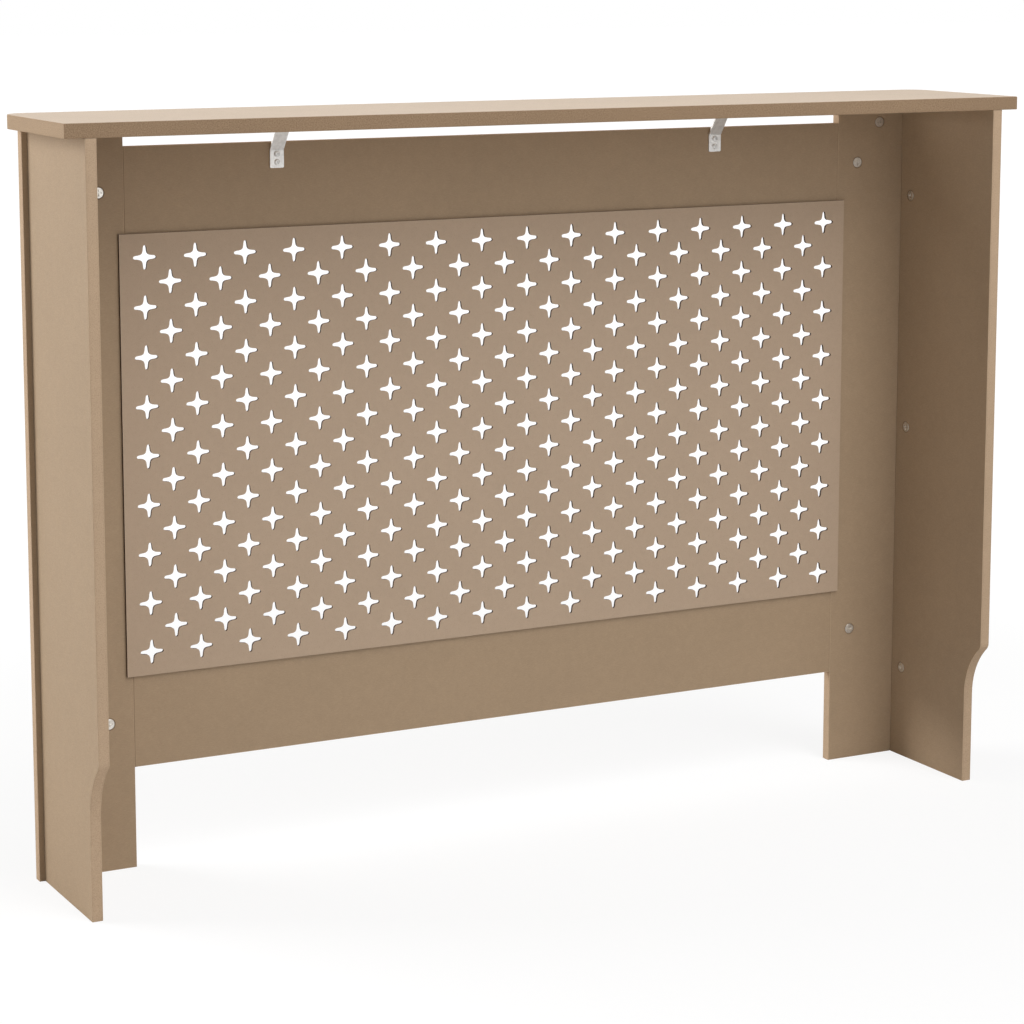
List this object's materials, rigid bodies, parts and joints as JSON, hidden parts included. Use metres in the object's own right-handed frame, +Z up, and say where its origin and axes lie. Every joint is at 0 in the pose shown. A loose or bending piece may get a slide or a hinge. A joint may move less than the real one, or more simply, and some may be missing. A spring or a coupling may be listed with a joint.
{
  "type": "radiator cover cabinet",
  "caption": "Bare fibreboard radiator cover cabinet with a star-pierced front grille, a vent gap under its top board and cam-lock joints.",
  "frame": {"origin": "on the floor, under the middle of the top board, which is the middle of the bounding box's base", "axes": "+X along the wall to the right as seen from the room, -Y out into the room, +Y to the wall, +Z up"},
  "size_m": [1.15, 0.2, 0.82],
  "materials": {
    "top_board_mdf": "bare medium-density fibreboard, sanded",
    "side_panel_mdf": "bare medium-density fibreboard, sanded",
    "frame_mdf": "bare medium-density fibreboard, sanded",
    "grille_hardboard": "bare thin fibreboard, cut edges darker",
    "cam_zinc": "dull die-cast zinc",
    "bolt_steel": "zinc-plated steel",
    "dowel_beech": "bare beech, fluted",
    "bracket_steel": "bright zinc-plated steel strip",
    "screw_steel": "bright zinc-plated steel"
  },
  "bodies": {
    "carcass": {"bottom_rail": "frame_mdf", "bracket_left": "bracket_steel", "bracket_rail_screws": "screw_steel", "bracket_right": "bracket_steel", "bracket_top_screws": "screw_steel", "grille_panel": "grille_hardboard", "rail_cam_bolts": "bolt_steel", "rail_dowels": "dowel_beech", "side_cam_bolts": "bolt_steel", "side_dowels": "dowel_beech", "side_panel_left": "side_panel_mdf", "side_panel_right": "side_panel_mdf", "stile_left": "frame_mdf", "stile_right": "frame_mdf", "top_board": "top_board_mdf", "top_cam_bolts": "bolt_steel", "top_dowels": "dowel_beech", "top_rail": "frame_mdf"},
    "cam_lock_bottom_rail_left": {"cam_lock_bottom_rail_left": "cam_zinc"},
    "cam_lock_bottom_rail_right": {"cam_lock_bottom_rail_right": "cam_zinc"},
    "cam_lock_side_high_left": {"cam_lock_side_high_left": "cam_zinc"},
    "cam_lock_side_high_right": {"cam_lock_side_high_right": "cam_zinc"},
    "cam_lock_side_low_left": {"cam_lock_side_low_left": "cam_zinc"},
    "cam_lock_side_low_right": {"cam_lock_side_low_right": "cam_zinc"},
    "cam_lock_side_middle_left": {"cam_lock_side_middle_left": "cam_zinc"},
    "cam_lock_side_middle_right": {"cam_lock_side_middle_right": "cam_zinc"},
    "cam_lock_top_board_left": {"cam_lock_top_board_left": "cam_zinc"},
    "cam_lock_top_board_right": {"cam_lock_top_board_right": "cam_zinc"},
    "cam_lock_top_rail_left": {"cam_lock_top_rail_left": "cam_zinc"},
    "cam_lock_top_rail_right": {"cam_lock_top_rail_right": "cam_zinc"}
  },
  "joints": [
    {"name": "turn_top_rail_left_cam", "type": "hinge", "parent": "carcass", "child": "cam_lock_top_rail_left", "pos_m": [-0.478, -0.08, 0.7355], "axis": [0, 1, 0], "range_deg": [0, 180]},
    {"name": "turn_bottom_rail_left_cam", "type": "hinge", "parent": "carcass", "child": "cam_lock_bottom_rail_left", "pos_m": [-0.478, -0.08, 0.163], "axis": [0, 1, 0], "range_deg": [0, 180]},
    {"name": "turn_top_board_left_cam", "type": "hinge", "parent": "carcass", "child": "cam_lock_top_board_left", "pos_m": [-0.509, -0.08, 0.783], "axis": [0, 1, 0], "range_deg": [0, 180]},
    {"name": "turn_side_low_left_cam", "type": "hinge", "parent": "carcass", "child": "cam_lock_side_low_left", "pos_m": [-0.542, -0.06, 0.111], "axis": [1, 0, 0], "range_deg": [0, 180]},
    {"name": "turn_side_middle_left_cam", "type": "hinge", "parent": "carcass", "child": "cam_lock_side_middle_left", "pos_m": [-0.542, -0.06, 0.412], "axis": [1, 0, 0], "range_deg": [0, 180]},
    {"name": "turn_side_high_left_cam", "type": "hinge", "parent": "carcass", "child": "cam_lock_side_high_left", "pos_m": [-0.542, -0.06, 0.6945], "axis": [1, 0, 0], "range_deg": [0, 180]},
    {"name": "turn_top_rail_right_cam", "type": "hinge", "parent": "carcass", "child": "cam_lock_top_rail_right", "pos_m": [0.478, -0.08, 0.7355], "axis": [0, 1, 0], "range_deg": [0, 180]},
    {"name": "turn_bottom_rail_right_cam", "type": "hinge", "parent": "carcass", "child": "cam_lock_bottom_rail_right", "pos_m": [0.478, -0.08, 0.163], "axis": [0, 1, 0], "range_deg": [0, 180]},
    {"name": "turn_top_board_right_cam", "type": "hinge", "parent": "carcass", "child": "cam_lock_top_board_right", "pos_m": [0.509, -0.08, 0.783], "axis": [0, 1, 0], "range_deg": [0, 180]},
    {"name": "turn_side_low_right_cam", "type": "hinge", "parent": "carcass", "child": "cam_lock_side_low_right", "pos_m": [0.542, -0.06, 0.111], "axis": [-1, 0, 0], "range_deg": [0, 180]},
    {"name": "turn_side_middle_right_cam", "type": "hinge", "parent": "carcass", "child": "cam_lock_side_middle_right", "pos_m": [0.542, -0.06, 0.412], "axis": [-1, 0, 0], "range_deg": [0, 180]},
    {"name": "turn_side_high_right_cam", "type": "hinge", "parent": "carcass", "child": "cam_lock_side_high_right", "pos_m": [0.542, -0.06, 0.6945], "axis": [-1, 0, 0], "range_deg": [0, 180]}
  ]
}
